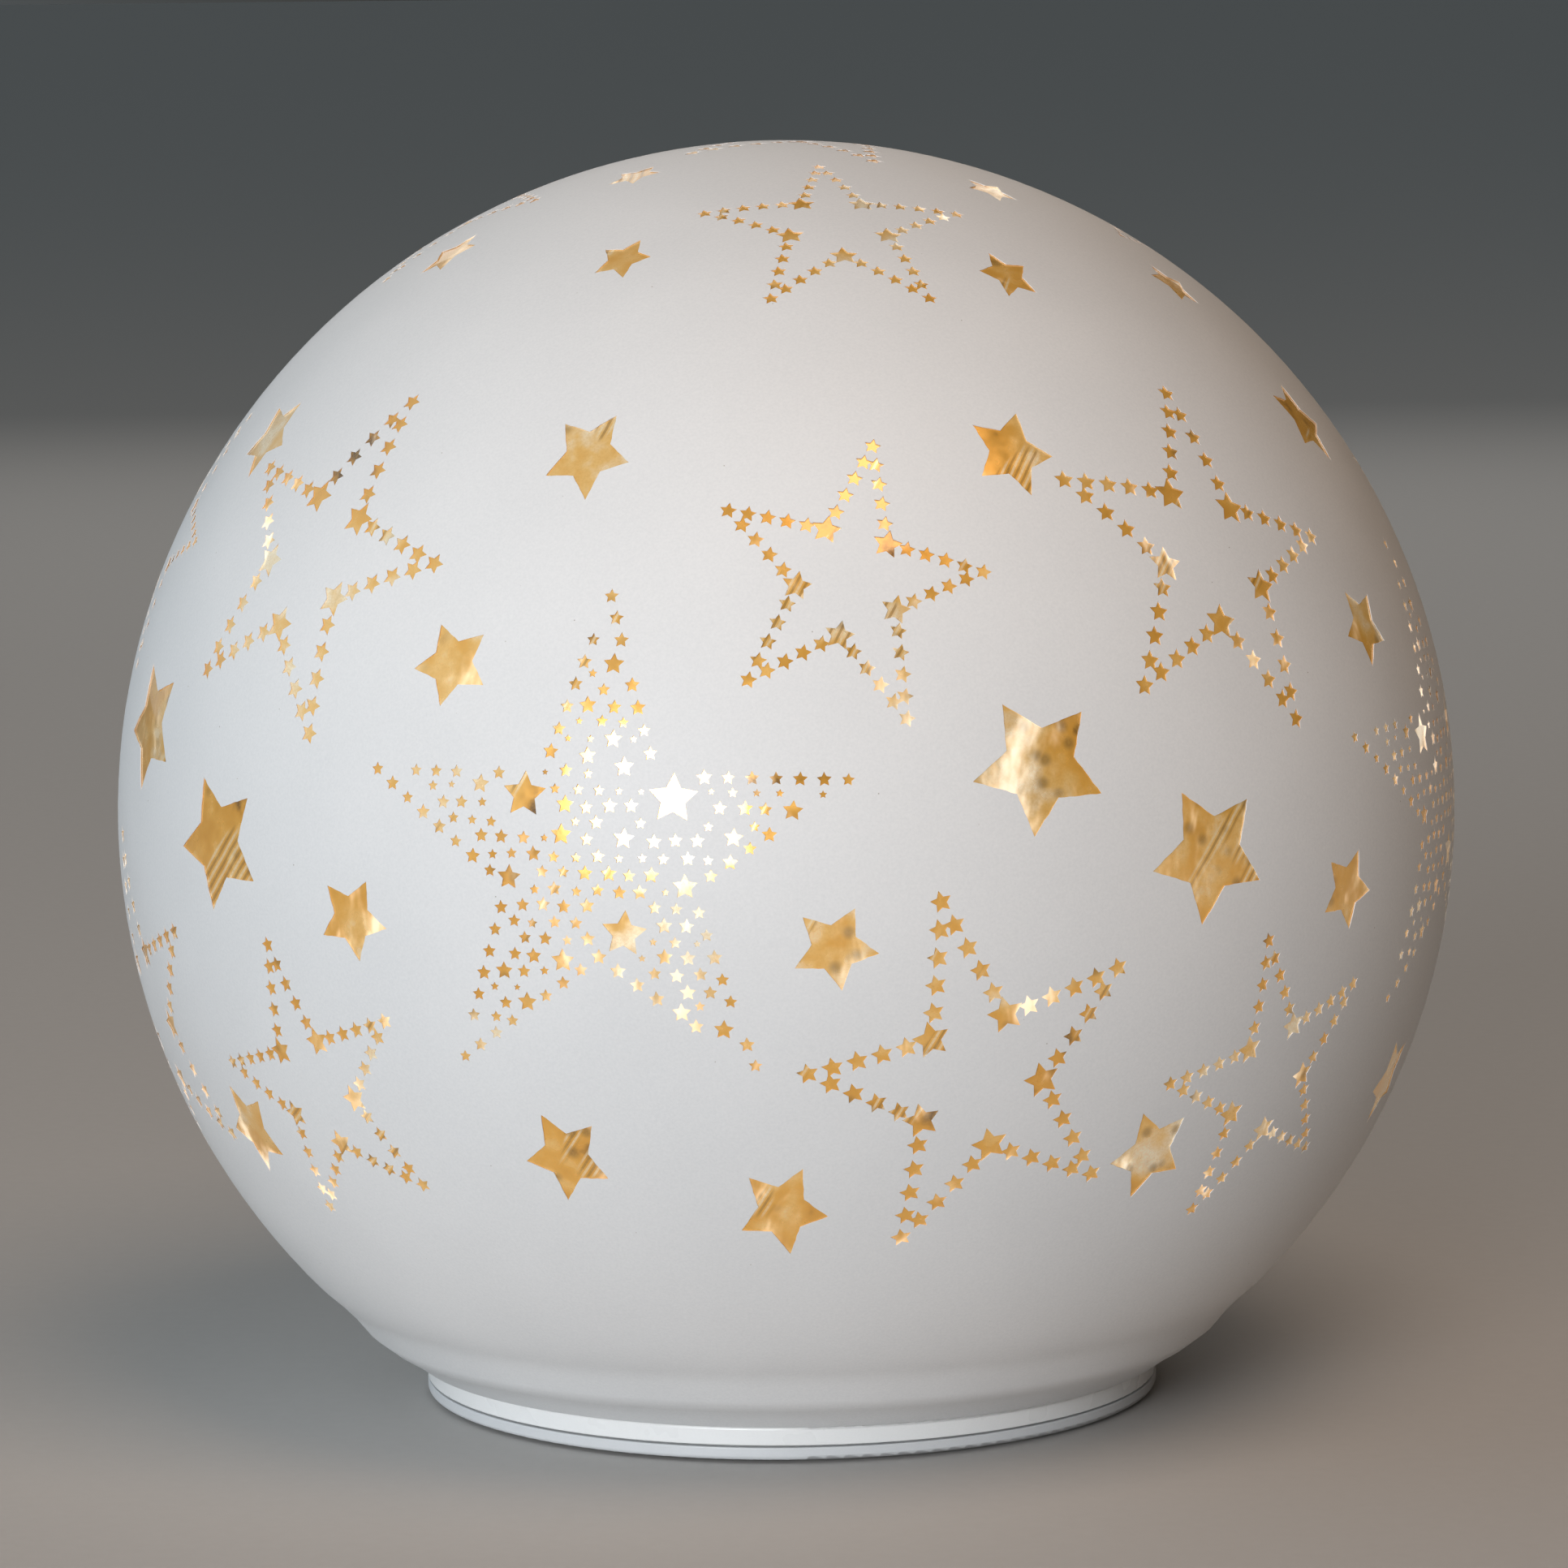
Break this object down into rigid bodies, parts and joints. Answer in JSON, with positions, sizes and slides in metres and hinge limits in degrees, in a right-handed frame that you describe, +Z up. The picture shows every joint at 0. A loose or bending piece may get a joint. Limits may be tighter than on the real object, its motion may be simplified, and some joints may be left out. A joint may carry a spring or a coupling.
{
  "type": "star globe light",
  "caption": "Round glass globe light with a satin white coat, gold star windows and a thin round battery base with a hinged door and slide switch.",
  "frame": {"origin": "on the table under the globe's centre, in the plane of the foot pads' undersides", "axes": "+Z up, -Y to the front with the large filled star, +X to the right seen from the front"},
  "size_m": [0.2, 0.2, 0.188],
  "materials": {
    "coated_glass": "satin white coat with clear star windows",
    "gold_lining": "mirror gold lacquer",
    "adhesive": "clear set adhesive",
    "white_plastic": "semi-gloss moulded",
    "steel": "zinc plated",
    "cell_wrap": "printed foil wrap without text",
    "spring_steel": "nickel plated",
    "nickel_strip": "nickel plated",
    "board_green": "solder mask",
    "black_plastic": "moulded",
    "resistor_ceramic": "fired film",
    "capacitor_can": "sleeved can",
    "clear_plastic": "clear tube",
    "copper_wire": "enamelled copper",
    "led_resin": "clear resin drop",
    "rubber": "soft grey rubber",
    "white_insulation": "extruded",
    "red_insulation": "extruded",
    "black_insulation": "extruded"
  },
  "bodies": {
    "lamp": {"base_housing": "white_plastic", "battery_1": "cell_wrap", "battery_2": "cell_wrap", "battery_3": "cell_wrap", "battery_spring_1": "spring_steel", "battery_spring_2": "spring_steel", "battery_spring_3": "spring_steel", "board_screws": "steel", "bottom_cover": "white_plastic", "capacitor": "capacitor_can", "circuit_board": "board_green", "contact_link_1": "nickel_strip", "contact_link_2": "nickel_strip", "contact_negative": "nickel_strip", "contact_positive": "nickel_strip", "cover_screws": "steel", "door_hinge_pin": "steel", "foot_pad_1": "rubber", "foot_pad_2": "rubber", "foot_pad_3": "rubber", "foot_pad_4": "rubber", "glass_globe": "coated_glass", "glue_ring": "adhesive", "gold_lining": "gold_lining", "lead_grommet": "rubber", "lead_negative": "black_insulation", "lead_positive": "red_insulation", "led_beads": "led_resin", "led_lead": "white_insulation", "led_post": "clear_plastic", "led_wire": "copper_wire", "post_screws": "steel", "resistors": "resistor_ceramic", "switch_body": "black_plastic", "switch_lead_1": "white_insulation", "switch_lead_2": "white_insulation", "switch_pins": "nickel_strip", "switch_screws": "steel", "timer_chip": "black_plastic"},
    "battery_door": {"battery_door": "white_plastic"},
    "switch_slider": {"switch_slider": "black_plastic"}
  },
  "joints": [
    {"name": "battery_door_hinge", "type": "hinge", "parent": "lamp", "child": "battery_door", "pos_m": [-0.0302, 0, 0.002], "axis": [0, 1, 0], "range_deg": [0, 95]},
    {"name": "switch_slide", "type": "slide", "parent": "lamp", "child": "switch_slider", "axis": [1, 0, 0], "range_m": [-0.002, 0.002]}
  ]
}
